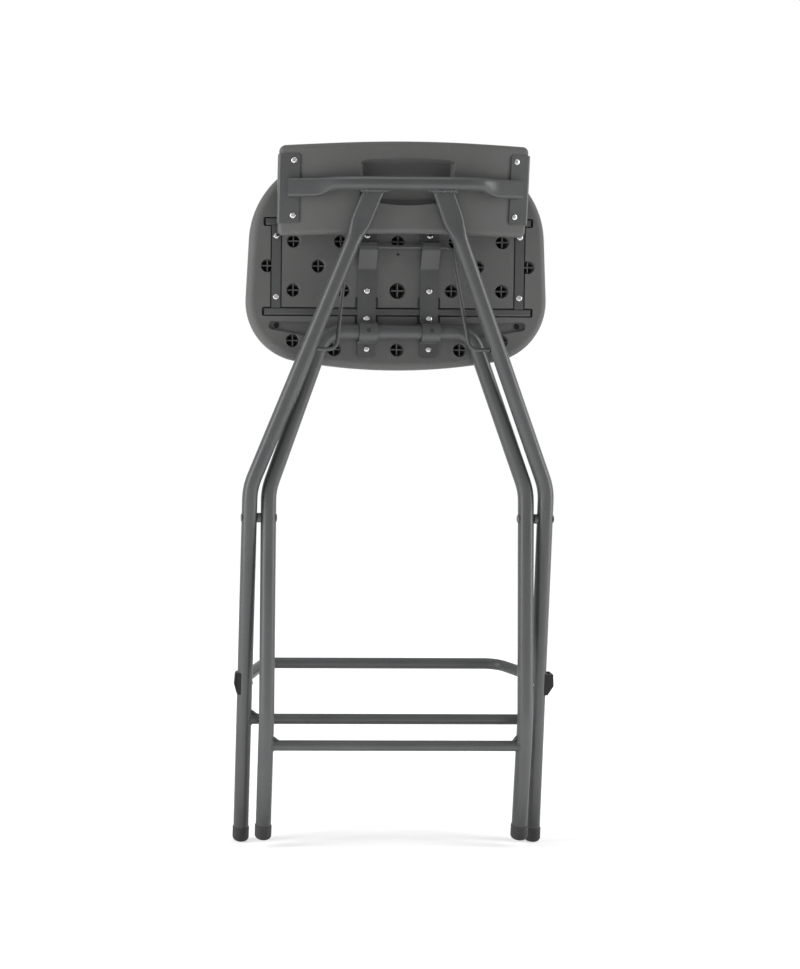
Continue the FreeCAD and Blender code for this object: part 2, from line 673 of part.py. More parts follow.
for name, side in SIDES:
    across = Placement(pivot, Rotation(Vector(0, 0, 1), Vector(side, 0, 0)))
    rivet = body(f"pivot_rivet_{name}", across)
    inner = rear_inner_flat - size("pivot_gap")
    outer = front_outer_flat + size("pivot_gap")
    head = size("rivet_head") / 2
    shank = size("rivet_shank") / 2
    rise = size("rivet_rise")
    turned(rivet, rounded([
        (flat(0, inner - rise), 0),
        (flat(head, inner - rise), rise * 0.8),
        (flat(head, inner), 0),
        (flat(shank, inner), 0),
        (flat(shank, outer), 0),
        (flat(head, outer), 0),
        (flat(head, outer + rise), rise * 0.8),
        (flat(0, outer + rise), 0),
    ], closed=True))
    spacer = body(f"pivot_spacer_{name}", across)
    low = rear_pivot_x + tube_radius + size("pivot_gap")
    high = front_pivot_x - tube_radius - size("pivot_gap")
    turned(spacer, box_loop(shank, low, size("spacer_width") / 2, high))

# Backrest: a moulded panel with a finger recess behind, between two folded brackets

def plate_body(name, side):
    """A bracket: a strip along the panel's rear face, folded forward at the panel's end."""
    middle = plate_seat + plate_out * (size("plate") / 2)
    reach_in = (middle.x - size("plate_inner")) / plate_along.x
    reach_fold = (plate_fold - middle.x) / plate_along.x
    turn = plate_angle + math.radians(size("plate_turn"))
    fold = middle + plate_along * reach_fold
    line = [
        (middle - plate_along * reach_in, 0),
        (fold, size("plate") * 2),
        (fold + Vector(math.cos(turn), math.sin(turn), 0) * size("plate_flange"), 0),
    ]
    if side < 0:
        line = [(mirror_point(point), radius) for point, radius in line]
    place = front * Placement(up * size("plate_bottom"), Rotation())
    bracket = body(f"back_bracket_{name}", place)
    strip = pad(bracket, sketch(bracket, "XY_Plane", [band(line, size("plate"))]),
                "Sizes.plate_top - Sizes.plate_bottom")
    fillet(bracket, strip, "Sizes.plate_corner", is_plate_corner)
    return bracket


def is_plate_corner(edge):
    """The short edges through the plate at its four corners."""
    box = edge.BoundBox
    flat_edge = box.ZLength < 1e-6 and abs(edge.Length - size("plate")) < 1e-3
    return flat_edge and edge.Curve.TypeId == "Part::GeomLine"


brackets = [plate_body(name, side) for name, side in SIDES]

panel_blank = doc.addObject("PartDesign::Body", "panel_blank")
panel_blank.Label = "panel_blank"
panel_blank.Placement = front
half = size("panel_half")
crown = size("panel_crown")
crown_radius = (half ** 2 + crown ** 2) / (2 * crown)
crown_slope = 2 * crown / half
panel_outline = rounded([
    (flat(-half, size("panel_bottom") - crown), size("panel_corner")),
    (flat(0, size("panel_bottom") + crown_slope * half - crown), crown_radius / 2),
    (flat(half, size("panel_bottom") - crown), size("panel_corner")),
    (flat(half, size("panel_top") - crown), size("panel_corner")),
    (flat(0, size("panel_top") + crown_slope * half - crown), crown_radius / 2),
    (flat(-half, size("panel_top") - crown), size("panel_corner")),
], closed=True)
slab = pad(panel_blank, sketch(panel_blank, "XZ_Plane", [panel_outline]),
           "2 * (Sizes.panel_thickness + Sizes.panel_wrap + Sizes.panel_back)", symmetric=True)
far = half * 1.2


def face_loop(depth, wrap, side):
    """What lies behind (side -1) or in front (side 1) of the panel's curved face."""
    far_depth = depth + wrap * (far / half) ** 2
    block = depth + side * (size("panel_thickness") + size("panel_wrap")) * 2
    return [
        Part.Arc(flat(-far, far_depth), flat(0, depth), flat(far, far_depth)),
        Part.LineSegment(flat(far, far_depth), flat(far, block)),
        Part.LineSegment(flat(far, block), flat(-far, block)),
        Part.LineSegment(flat(-far, block), flat(-far, far_depth)),
    ]


front_depth = size("panel_back") + size("panel_thickness")
pocket(panel_blank, sketch(panel_blank, "XY_Plane", [
    face_loop(size("panel_back"), size("panel_wrap"), -1)]))
curved = pocket(panel_blank, sketch(panel_blank, "XY_Plane", [
    face_loop(front_depth, size("panel_front_wrap"), 1)]))


def is_panel_rim(edge):
    """The edges round the panel's rear and front faces."""
    corner_edge = edge.Curve.TypeId == "Part::GeomLine" and edge.BoundBox.YLength > 5
    return not corner_edge


fillet(panel_blank, curved, "Sizes.panel_edge", is_panel_rim)
grip_dip = crown
pocket(panel_blank, sketch(panel_blank, "XZ_Plane", [rounded([
    (flat(-size("grip_half"), size("grip_bottom")), size("grip_corner")),
    (flat(0, size("grip_bottom") - grip_dip * 2), size("grip_half") * 4),
    (flat(size("grip_half"), size("grip_bottom")), size("grip_corner")),
    (flat(size("grip_half"), size("grip_top")), size("grip_corner")),
    (flat(-size("grip_half"), size("grip_top")), size("grip_corner")),
], closed=True)], offset=-size("panel_back")), "Sizes.grip_depth", "-Sizes.grip_taper")

# Screws, pan heads on plain shanks

def screw(point, outward):
    """A screw with its head's underside at the point, facing outward."""
    shank = size("screw_shank") / 2
    head = size("screw_head") / 2
    rim = size("screw_rise") / 3
    outline = rounded([
        (Vector(0, 0, -size("screw_length")), 0),
        (Vector(shank, 0, -size("screw_length")), 0),
        (Vector(shank, 0, 0), 0),
        (Vector(head, 0, 0), 0),
        (Vector(head, 0, rim), 0),
        (Vector(head * 0.7, 0, size("screw_rise")), head * 0.6),
        (Vector(0, 0, size("screw_rise")), 0),
    ], closed=True)
    face = Part.Face(Part.Wire([line.toShape() for line in outline]))
    solid = face.revolve(Vector(0, 0, 0), up, 360)
    solid.Placement = aimed(point, outward)
    return solid


def group(label, solids, place):
    """One sub-part of separate equal fasteners."""
    return shaped(Part.makeCompound(solids), label, place)


back_screws = []
for name, side in SIDES:
    for height in (size("plate_screw_low"), size("plate_screw_high")):
        spot = plate_seat + plate_out * size("plate") + up * height
        way = plate_out
        if side < 0:
            spot = mirror_point(spot)
            way = mirror_point(way)
        back_screws.append(screw(spot, way))
back_screw_group = group("backrest_screws", back_screws, front)


def fused_tool(label, tools):
    """A helper solid group that is cut out of other pieces."""
    tool = doc.addObject("Part::MultiFuse", label)
    tool.Shapes = tools
    doc.recompute()
    return tool


def less(label, base, tool):
    """A sub-part that is its base less what sits in it."""
    cut = doc.addObject("Part::Cut", label)
    cut.Base = base
    cut.Tool = tool
    return keep(cut, label)


pieces[:] = [piece for piece in pieces if piece not in brackets]
bracket_nodes = []
for (name, side), bracket in zip(SIDES, brackets):
    bracket.Label = f"bracket_blank_{name}"
    bracket_nodes.append(less(f"back_bracket_{name}", bracket, back_screw_group))
less("backrest_panel", panel_blank, fused_tool("panel_fittings", brackets + [back_screw_group]))

# Seat: a moulded slab with pits and grooves underneath. Its underside faces local -y.

seat_blank = doc.addObject("PartDesign::Body", "seat_blank")
seat_blank.Label = "seat_blank"
seat_blank.Placement = seat
underside = size("seat_standoff")
front_half = size("seat_front_half")
rear_half = size("seat_rear_half")
bow_slope = math.tan(math.asin((front_half - size("seat_front_radius")) / size("seat_bow_radius")))
bow_peak = -size("seat_front") - size("seat_bow")
seat_outline = rounded([
    (flat(0, bow_peak), size("seat_bow_radius")),
    (flat(front_half, bow_peak + bow_slope * front_half), size("seat_front_radius")),
    (flat(rear_half, size("seat_rear")), size("seat_rear_radius")),
    (flat(-rear_half, size("seat_rear")), size("seat_rear_radius")),
    (flat(-front_half, bow_peak + bow_slope * front_half), size("seat_front_radius")),
], closed=True)
slab = pad(seat_blank, sketch(seat_blank, "XZ_Plane", [seat_outline],
                              offset=-underside - size("seat_thickness")), "Sizes.seat_thickness")
fillet(seat_blank, slab, "Sizes.seat_edge", lambda edge: edge.BoundBox.YLength < 1e-6)


def seat_sketch(loops):
    """A sketch on the seat's underside."""
    return sketch(seat_blank, "XZ_Plane", loops, offset=-underside)


def long_groove(height, half_length):
    """The outline of a groove for a crosswise bar, with rounded corners."""
    half_width = size("bar_groove") / 2
    end = half_length + size("groove_end_play")
    return box_loop(-end, height - half_width, end, height + half_width, size("bar_round"))


pocket(seat_blank, seat_sketch([
    long_groove(size("rear_bar_up"), size("rear_bar_half")),
    long_groove(size("front_bar_up"), size("front_bar_half")),
]), "Sizes.bar_depth")
side_low = size("front_bar_up") + size("bar_height") / 2
side_high = size("rear_bar_up") - size("bar_height") / 2
for side in (-1, 1):
    inner = side * size("side_bar_spread") - size("side_bar_width") / 2
    outer = inner + size("side_bar_width")
    pocket(seat_blank, seat_sketch([box_loop(inner, side_low, outer, side_high)]),
           "Sizes.side_bar_thickness")
    pocket(seat_blank, seat_sketch([
        box_loop(inner - size("side_slit"), side_low, inner, side_high),
        box_loop(outer, side_low, outer + size("side_slit"), side_high)]),
        "Sizes.side_slit_depth")


def relief_loop(side):
    """The outline of the tapered relief, from the crossbar's groove to a round end."""
    wide = tube_radius
    end_x = size("relief_half")
    end_up = size("relief_end_up")
    radius = size("relief_end_radius")
    return rounded([(flat(side * x, y), turn) for x, y, turn in (
        (size("relief_wide_half"), -wide, 0),
        (end_x + radius, end_up - radius, radius * 0.95),
        (end_x + radius, end_up + radius, radius * 0.95),
        (size("relief_wide_half"), wide + radius / 2, 0),
    )], closed=True)


for side in (-1, 1):
    pocket(seat_blank, seat_sketch([relief_loop(side)]), "Sizes.relief_depth")

for side in (-1, 1):
    near = side * size("strap_spread") - size("strap_width") / 2 - size("strap_pocket_play")
    far_side = near + size("strap_width") + 2 * size("strap_pocket_play")
    pocket(seat_blank, seat_sketch([box_loop(
        near, size("front_bar_up") - size("strap_pocket_half"),
        far_side, size("front_bar_up") + size("strap_pocket_half"), size("strap_pocket_play"))]),
        "Sizes.strap_pocket_depth")

pit_pairs = (
    ("pit_spread_high", size("pit_high")),
    ("pit_spread_outer", size("pit_high")),
    ("pit_spread_middle", size("pit_middle")),
    ("pit_spread_edge", size("pit_middle")),
    ("pit_spread_low", size("pit_low")),
    ("pit_spread_outer", size("pit_low")),
    ("pit_spread_outer", -size("pit_front")),
    ("pit_spread_front", -size("pit_front_middle")),
)
pit_places = [(side * size(spread), height) for spread, height in pit_pairs for side in (-1, 1)]
pit_places += [(0, size("pit_high")), (0, -size("pit_front_middle"))]
pocket(seat_blank, seat_sketch([circle(x, y, size("pit_width") / 2) for x, y in pit_places]),
       "Sizes.pit_depth", "-Sizes.pit_taper")
pocket(seat_blank, seat_sketch([circle(0, size("pit_low"), size("pit_middle_width") / 2)]),
       "Sizes.pit_depth", "-Sizes.pit_taper")
pocket(seat_blank, seat_sketch([circle(0, size("vent_up"), size("vent_width") / 2)]),
       "Sizes.relief_depth")

# Steel bars let into the seat, and the straps that carry it

def cross_bar(label, height, half_length):
    bar = body(label, seat)
    middle = size(height)
    half_height = size("bar_height") / 2
    pad(bar, sketch(bar, "YZ_Plane", [box_loop(
        underside, middle - half_height, underside + size("bar_depth"), middle + half_height,
        size("bar_round"))]), f"2 * Sizes.{half_length}", symmetric=True)


cross_bar("seat_rear_bar", "rear_bar_up", "rear_bar_half")
cross_bar("seat_front_bar", "front_bar_up", "front_bar_half")

hole_radius = size("screw_shank") / 2
for name, side in SIDES:
    bar = body(f"seat_side_bar_{name}", seat)
    inner = side * size("side_bar_spread") - size("side_bar_width") / 2
    pad(bar, sketch(bar, "XZ_Plane", [
        box_loop(inner, side_low, inner + size("side_bar_width"), side_high)],
        offset=-underside - size("side_bar_thickness")), "Sizes.side_bar_thickness")
    pocket(bar, sketch(bar, "XZ_Plane", [
        circle(side * size("side_bar_spread"), size(row), hole_radius)
        for row in ("side_screw_low", "side_screw_high")]))

strap_face = underside - size("strap_thickness")
strap_middle = underside - size("strap_thickness") / 2
wire_radius = size("link_wire") / 2
hump_reach = wire_radius + size("strap_play") + size("strap_thickness") / 2
hoop_radius = tube_radius + size("strap_play") + size("strap_thickness") / 2
hump_bend = size("strap_thickness")


def strap_line():
    """A strap's middle line, in the seat's YZ plane, from its upper end to its lower one."""
    link_up = size("link_high_up")
    hump_low = link_up - hump_reach
    return [
        (flat(strap_middle, size("strap_top")), 0),
        (flat(strap_middle, link_up + hump_reach + hump_bend), hump_bend),
        (flat(-hump_reach, link_up + hump_reach), wire_radius + hump_bend / 2),
        (flat(-hump_reach, hump_low), hump_bend * 3),
        (flat(strap_middle, hump_low - size("hump_fade")), hump_bend * 4),
        (flat(strap_middle, hoop_radius + hump_bend / 2), hump_bend),
        (flat(-hoop_radius, hoop_radius), hoop_radius * 0.97),
        (flat(-hoop_radius, -hoop_radius), hoop_radius * 0.97),
        (flat(strap_middle, -hoop_radius - hump_bend), hump_bend),
        (flat(strap_middle, -size("strap_bottom")), 0),
    ]


STRAP_SCREWS = (
    size("strap_screw_top"), size("strap_screw_upper"), size("strap_screw_lower"),
    -size("strap_screw_bottom"),
)
for name, side in SIDES:
    strap = body(f"seat_strap_{name}", seat * Placement(Vector(side * size("strap_spread"), 0, 0), Rotation()))
    strip = pad(strap, sketch(strap, "YZ_Plane", [band(strap_line(), size("strap_thickness"))]),
                "Sizes.strap_width", symmetric=True)
    strip = fillet(strap, strip, "Sizes.strap_corner", lambda edge: (
        edge.Curve.TypeId == "Part::GeomLine" and edge.BoundBox.YLength > size("strap_thickness") / 2
        and edge.BoundBox.XLength < 1e-6 and edge.BoundBox.ZLength < 1e-6))
    pocket(strap, sketch(strap, "XZ_Plane", [circle(0, height, hole_radius) for height in STRAP_SCREWS]))

towards_back = Vector(0, -1, 0)
strap_screws = group("strap_screws", [
    screw(Vector(side * size("strap_spread"), strap_face, height), towards_back)
    for side in (-1, 1) for height in STRAP_SCREWS], seat)
side_screws = group("side_bar_screws", [
    screw(Vector(side * size("side_bar_spread"), underside, size(row)), towards_back)
    for side in (-1, 1) for row in ("side_screw_low", "side_screw_high")], seat)

# The seat is relieved for the rear frame's crossbar and legs, and drilled for its screws

tube_room = doc.addObject("Part::Feature", "tube_room")
tube_room.Shape = rod([
    (mirror_point(rear_bend), 0),
    (mirror_point(rear_top), size("rear_top_radius")),
    (rear_top, size("rear_top_radius")),
    (rear_bend, 0),
], tube_radius + size("tube_play"))
tube_room.Placement = rear
bar_room = doc.addObject("Part::Cylinder", "bar_room")
bar_room.setExpression("Radius", "Sizes.leg_tube / 2 + Sizes.tube_play")
bar_room.setExpression("Height", "2 * Sizes.relief_wide_half")
bar_room.Placement = seat * Placement(
    Vector(-size("relief_wide_half"), 0, 0), Rotation(up, Vector(1, 0, 0)))
less("seat_shell", seat_blank, fused_tool("seat_fittings", [tube_room, bar_room, strap_screws, side_screws]))

# Wire link from the straps' upper humps to the holes in the front legs

link_length = link_reach.Length
half_link = [
    (Vector(size("link_end_half"), 0, 0), 0),
    (Vector(size("link_low_half"), 0, 0), size("link_low_radius")),
    (Vector(size("link_high_half"), 0, link_length), size("link_high_radius")),
]
shaped(rod(half_link + [(mirror_point(point), radius) for point, radius in half_link[::-1]], wire_radius),
       "link_bail", link)

# Clips on the legs' outer sides, a tongue on the left and a slot on the right

def clip_rivet(side):
    """A rivet from the leg's inner side to the clip, its head on the leg."""
    head_radius = size("clip_rivet_head") / 2
    head = Part.makeSphere(head_radius, Vector(0, 0, 0), up, 0, 90, 360)
    squash = FreeCAD.Matrix()
    squash.scale(1, 1, size("clip_rivet_rise") / head_radius)
    head = head.transformGeometry(squash)
    head.Placement = aimed(Vector(-tube_radius, 0, 0), Vector(-1, 0, 0))
    shank = sideways(clip_rivet_radius, -tube_radius, 2 * tube_radius + size("clip_rivet_grip"))
    rivet = head.fuse(shank)
    rivet.Placement = clip_rivet_place(side) * rivet.Placement
    return rivet


clip_rivets = group("ganging_rivets", [clip_rivet(side) for side in (-1, 1)], front)


def clip_body(label, side, out):
    """A block that fits the leg's outer side, drawn in towards its foot and its top."""
    clip = doc.addObject("PartDesign::Body", label)
    clip.Label = label
    clip.Placement = front * clip_place(side)
    lap = tube_radius - size("clip_lap")
    half_height = size("clip_height") / 2
    pad(clip, sketch(clip, "XZ_Plane", [rounded([(flat(side * x, z), 0) for x, z in (
        (lap, -half_height),
        (tube_radius + size("clip_foot"), -half_height),
        (tube_radius + out, -size("clip_bulge_down")),
        (tube_radius + out - size("clip_draft"), half_height),
        (lap, half_height),
    )], closed=True)]), "Sizes.clip_width", symmetric=True)
    pocket(clip, sketch(clip, "XY_Plane", [circle(0, 0, tube_radius + size("clip_play"))]))
    return clip


hook = clip_body("hook_blank", -1, size("hook_out"))
tongue_face = tube_radius + size("hook_out") - size("tongue_thickness")
tongue_half = size("tongue_width") / 2
for low, high in ((-size("clip_width"), -tongue_half), (tongue_half, size("clip_width"))):
    pocket(hook, sketch(hook, "XY_Plane", [box_loop(-tube_radius * 2, low, -tongue_face, high)]))
less("ganging_hook_left", hook, clip_rivets)
socket = clip_body("socket_blank", 1, size("socket_out"))
slot_face = tube_radius + size("clip_wall")
slot_half = tongue_half + size("tongue_play")
pocket(socket, sketch(socket, "XY_Plane", [box_loop(
    slot_face, -slot_half, slot_face + size("tongue_thickness") + size("tongue_play"), slot_half)],
    offset=size("clip_height") / 2), "Sizes.slot_depth")
less("ganging_socket_right", socket, clip_rivets)

# Check every object, then write each sub-part

doc.recompute()
for item in doc.Objects:
    failed = {"Invalid", "Error"} & set(item.State)
    if failed:
        raise RuntimeError(f"{item.Label} failed: {item.State}")
for piece in pieces:
    if piece.Shape.isNull() or not piece.Shape.isValid():
        raise RuntimeError(f"{piece.Label} has no valid shape")
os.makedirs("parts", exist_ok=True)
for piece in pieces:
    piece.Shape.exportStep(f"parts/{piece.Label}.step")
    box = piece.Shape.BoundBox
    print(f"{piece.Label}: {len(piece.Shape.Solids)} solid(s), {piece.Shape.Volume / 1000:.1f} cm3,"
          f" x {box.XMin:.1f} to {box.XMax:.1f}, y {box.YMin:.1f} to {box.YMax:.1f},"
          f" z {box.ZMin:.1f} to {box.ZMax:.1f}")
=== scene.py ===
import json
import math

import bmesh
import bpy
from mathutils import Matrix, Vector


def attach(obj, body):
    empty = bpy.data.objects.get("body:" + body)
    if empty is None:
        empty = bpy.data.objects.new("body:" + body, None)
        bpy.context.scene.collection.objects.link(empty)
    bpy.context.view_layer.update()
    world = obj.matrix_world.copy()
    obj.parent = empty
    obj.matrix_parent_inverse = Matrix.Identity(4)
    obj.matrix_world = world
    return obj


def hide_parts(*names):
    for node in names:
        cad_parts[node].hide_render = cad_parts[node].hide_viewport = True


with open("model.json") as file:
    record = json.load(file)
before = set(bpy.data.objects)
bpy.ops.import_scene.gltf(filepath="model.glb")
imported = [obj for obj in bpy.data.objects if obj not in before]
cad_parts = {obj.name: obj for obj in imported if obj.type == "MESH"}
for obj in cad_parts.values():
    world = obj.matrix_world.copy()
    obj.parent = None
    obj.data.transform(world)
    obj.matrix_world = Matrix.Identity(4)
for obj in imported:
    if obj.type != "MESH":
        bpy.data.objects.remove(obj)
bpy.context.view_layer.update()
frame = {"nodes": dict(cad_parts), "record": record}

# A folding bar stool, folded, seen from behind. Sizes are in millimetres unless they say metres.
# The finishes and the small parts are made here: welds, webs over the rails' ends, screws with
# cross recesses, ribs in the seat's pits, set screws in the straps and plugs in the seat's relief,
# whose near-black is painted shade for the dark holes there.

bpy.context.scene.view_settings.view_transform = "Standard"
MM = 0.001
FULL_TURN = 2 * math.pi
FRONT_LEAN = 6.4
REAR_LEAN = -0.8
SEAT_LEAN = 0.9
SIDES = (("left", -1), ("right", 1))


class Plane:
    """A frame's own plane: x across, y towards the front and z up along it."""

    def __init__(self, origin, lean):
        self.origin = Vector(origin)
        self.turn = Matrix.Rotation(math.radians(lean), 3, "X")

    def at(self, x, y, z):
        return self.origin + self.turn @ (Vector((x, y, z)) * MM)

    def way(self, x, y, z):
        return (self.turn @ Vector((x, y, z))).normalized()


joint_places = {joint["name"]: joint["pos_m"] for joint in frame["record"]["behaviour"]["joints"]}
front = Plane(joint_places["fold"], FRONT_LEAN)
rear = Plane(joint_places["rear_fold"], REAR_LEAN)
seat = Plane(joint_places["seat_swing"], SEAT_LEAN)


# Materials

class Finish:
    """A procedural material under construction. Its scales are per metre, its bumps in metres."""

    def __init__(self, name):
        self.material = bpy.data.materials.new(name)
        self.material.use_nodes = True
        self.tree = self.material.node_tree
        self.shader = self.tree.nodes["Principled BSDF"]
        self.place = self.tree.nodes.new("ShaderNodeTexCoord").outputs["Object"]

    def node(self, kind, inputs=(), **settings):
        made = self.tree.nodes.new(kind)
        for name, value in settings.items():
            setattr(made, name, value)
        for socket, value in dict(inputs).items():
            self.put(made.inputs[socket], value)
        return made

    def put(self, socket, value):
        if isinstance(value, bpy.types.NodeSocket):
            self.tree.links.new(value, socket)
        else:
            socket.default_value = value

    def noise(self, scale, detail=3.0, rough=0.55):
        made = self.node("ShaderNodeTexNoise", {
            "Vector": self.place, "Scale": scale, "Detail": detail, "Roughness": rough})
        return made.outputs["Fac"]

    def cells(self, scale):
        made = self.node("ShaderNodeTexVoronoi", {"Vector": self.place, "Scale": scale},
                         feature="SMOOTH_F1")
        return made.outputs["Distance"]

    def spread(self, value, low, high, to_low=0.0, to_high=1.0):
        made = self.node("ShaderNodeMapRange", {
            "Value": value, "From Min": low, "From Max": high, "To Min": to_low, "To Max": to_high})
        return made.outputs["Result"]

    def blend(self, share, one, other):
        made = self.node("ShaderNodeMix", data_type="RGBA")
        for socket, value in (("Factor_Float", share), ("A_Color", one), ("B_Color", other)):
            self.put(next(item for item in made.inputs if item.identifier == socket), value)
        return next(item for item in made.outputs if item.identifier == "Result_Color")

    def bump(self, height, strength, distance, after=None):
        made = self.node("ShaderNodeBump", {
            "Height": height, "Strength": strength, "Distance": distance})
        if after is not None:
            self.put(made.inputs["Normal"], after)
        return made.outputs["Normal"]

    def surface(self, **values):
        names = {"color": "Base Color", "rough": "Roughness", "metal": "Metallic",
                 "normal": "Normal", "specular": "Specular IOR Level"}
        for name, value in values.items():
            self.put(self.shader.inputs[names[name]], value)
        return self.material


def grey(level, warm=0.0):
    """A linear grey, warmer above zero and cooler below."""
    return (level * (1 + warm), level, level * (1 - warm), 1)


def powder_coat():
    finish = Finish("powder_coat")
    cloud = finish.noise(scale=9.0, detail=4.0)
    speck = finish.noise(scale=1500.0, detail=1.0)
    peel = finish.noise(scale=520.0, detail=2.0, rough=0.5)
    tone = finish.blend(finish.spread(cloud, 0.3, 0.7), grey(0.050, warm=-0.025),
                        grey(0.062, warm=-0.02))
    tone = finish.blend(finish.spread(speck, 0.62, 0.72, to_high=0.35), tone, grey(0.10))
    rough = finish.spread(cloud, 0.3, 0.7, to_low=0.32, to_high=0.40)
    normal = finish.bump(peel, strength=0.22, distance=0.0003)
    return finish.surface(color=tone, rough=rough, specular=0.3, normal=normal)


def moulded_plastic():
    finish = Finish("moulded_plastic")
    cloud = finish.noise(scale=6.0, detail=3.0)
    streak = finish.noise(scale=42.0, detail=2.0)
    pebble_and_hollow_shade = finish.cells(scale=900.0)
    grain = finish.noise(scale=1700.0, detail=2.0)
    tone = finish.blend(finish.spread(cloud, 0.25, 0.75), grey(0.094, warm=0.012),
                        grey(0.110, warm=0.010))
    tone = finish.blend(finish.spread(streak, 0.35, 0.8, to_high=0.25), tone,
                        grey(0.086, warm=0.015))
    # Painted shade: the colour goes darker in the hollows of the pebble bump, where shade would
    # fall.
    tone = finish.blend(finish.spread(pebble_and_hollow_shade, 0.05, 0.6, to_low=0.3, to_high=0.0), tone,
                        grey(0.062, warm=0.01))
    rough = finish.spread(grain, 0.3, 0.7, to_low=0.52, to_high=0.68)
    pebbled = finish.bump(pebble_and_hollow_shade, strength=0.25, distance=0.0004)
    normal = finish.bump(grain, strength=0.15, distance=0.0002, after=pebbled)
    return finish.surface(color=tone, rough=rough, specular=0.2, normal=normal)


def cap_rubber():
    finish = Finish("cap_rubber")
    cloud = finish.noise(scale=60.0, detail=3.0)
    grain = finish.noise(scale=1400.0, detail=2.0)
    tone = finish.blend(cloud, grey(0.030), grey(0.044))
    rough = finish.spread(grain, 0.3, 0.7, to_low=0.5, to_high=0.66)
    normal = finish.bump(grain, strength=0.2, distance=0.0002)
    return finish.surface(color=tone, rough=rough, specular=0.25, normal=normal)


def clip_plastic():
    finish = Finish("clip_plastic")
    grain = finish.noise(scale=900.0, detail=2.0)
    tone = finish.blend(grain, grey(0.005), grey(0.011))
    rough = finish.spread(grain, 0.3, 0.7, to_low=0.32, to_high=0.48)
    normal = finish.bump(grain, strength=0.12, distance=0.0002)
    return finish.surface(color=tone, rough=rough, specular=0.15, normal=normal)


def zinc():
    finish = Finish("zinc")
    cloud = finish.noise(scale=260.0, detail=3.0)
    scratch = finish.noise(scale=2200.0, detail=2.0)
    tone = finish.blend(finish.spread(cloud, 0.3, 0.7), grey(0.30), grey(0.42, warm=0.01))
    rough = finish.spread(cloud, 0.3, 0.7, to_low=0.18, to_high=0.3)
    normal = finish.bump(scratch, strength=0.1, distance=0.0001)
    return finish.surface(color=tone, metal=1.0, rough=rough, normal=normal)


finishes = {
    "powder_coat": powder_coat(),
    "moulded_plastic": moulded_plastic(),
    "cap_rubber": cap_rubber(),
    "clip_plastic": clip_plastic(),
    "zinc": zinc(),
}
slots = {part["node"]: part["material_slot"] for part in frame["record"]["subparts"]}
for node, carried in frame["nodes"].items():
    carried.data.materials.clear()
    carried.data.materials.append(finishes[slots[node]])


# Pieces and meshes

def piece(name, mesh, body, slot_name, smooth=True):
    """A new piece that rides on a body."""
    made = bpy.data.objects.new(name, mesh)
    bpy.context.collection.objects.link(made)
    mesh.materials.append(finishes[slot_name])
    for polygon in mesh.polygons:
        polygon.use_smooth = smooth
    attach(made, body)
    return made


def finished(name, build):
    """A mesh from a bmesh."""
    bmesh.ops.recalc_face_normals(build, faces=build.faces)
    mesh = bpy.data.meshes.new(name)
    build.to_mesh(mesh)
    build.free()
    return mesh


def block(build, centre, ways, halves):
    """A box with its own three directions, half sizes in millimetres."""
    corners = []
    for signs in ((x, y, z) for x in (-1, 1) for y in (-1, 1) for z in (-1, 1)):
        steps = (way * (half * sign * MM) for way, half, sign in zip(ways, halves, signs))
        corners.append(build.verts.new(centre + sum(steps, Vector())))
    for face in ((0, 1, 3, 2), (4, 6, 7, 5), (0, 4, 5, 1),
                 (2, 3, 7, 6), (0, 2, 6, 4), (1, 5, 7, 3)):
        build.faces.new([corners[index] for index in face])


def ring(build, middle, across, other, radius, sides):
    """Points round a middle, the radius in metres."""
    return [build.verts.new(middle + (across * math.cos(turn) + other * math.sin(turn)) * radius)
            for turn in (FULL_TURN * side / sides for side in range(sides))]


def wall(build, one, two):
    """Faces between two closed lines with as many points."""
    for index in range(len(one)):
        following = (index + 1) % len(one)
        build.faces.new((one[index], one[following], two[following], two[index]))


def turned(build, profile, centre, axis, sides=32):
    """A closed solid of revolution from radii and heights in millimetres along an axis."""
    across = axis.orthogonal().normalized()
    other = axis.cross(across)
    rings = []
    for radius, height in profile:
        middle = centre + axis * (height * MM)
        if radius == 0:
            rings.append([build.verts.new(middle)])
        else:
            rings.append(ring(build, middle, across, other, radius * MM, sides))
    for one, two in zip(rings, rings[1:]):
        for side in range(sides):
            following = (side + 1) % sides
            corners = [one[side % len(one)], one[following % len(one)],
                       two[following % len(two)], two[side % len(two)]]
            build.faces.new(list(dict.fromkeys(corners)))


BEAD_SIDES = 8
BEAD_TIP = 0.4
RIPPLE = 0.16
RIPPLE_PITCH = 2.2


def bead(build, line, radius, closed=False, ripple=RIPPLE, pitch=RIPPLE_PITCH):
    """A rippled bead of weld along a line of points, radius and pitch in millimetres."""
    rings = []
    count = len(line)
    run = 0.0
    for index, point in enumerate(line):
        before = line[index - 1] if index or closed else point
        after = line[(index + 1) % count] if index < count - 1 or closed else point
        way = (after - before).normalized()
        across = way.orthogonal().normalized()
        other = way.cross(across)
        run += (point - before).length / MM if index else 0.0
        swell = radius * (1 + ripple * math.sin(FULL_TURN * run / pitch)) * MM
        if not closed and index in (0, count - 1):
            swell *= BEAD_TIP
        rings.append(ring(build, point, across, other, swell, BEAD_SIDES))
    pairs = list(zip(rings, rings[1:])) + ([(rings[-1], rings[0])] if closed else [])
    for one, two in pairs:
        offset = min(range(BEAD_SIDES), key=lambda shift: (one[0].co - two[shift].co).length)
        wall(build, one, two[offset:] + two[:offset])
    if not closed:
        for end in (rings[0], rings[-1]):
            build.faces.new(end)


# Welds at the ends of the three foot rails, and webs over the ends of the two straight ones

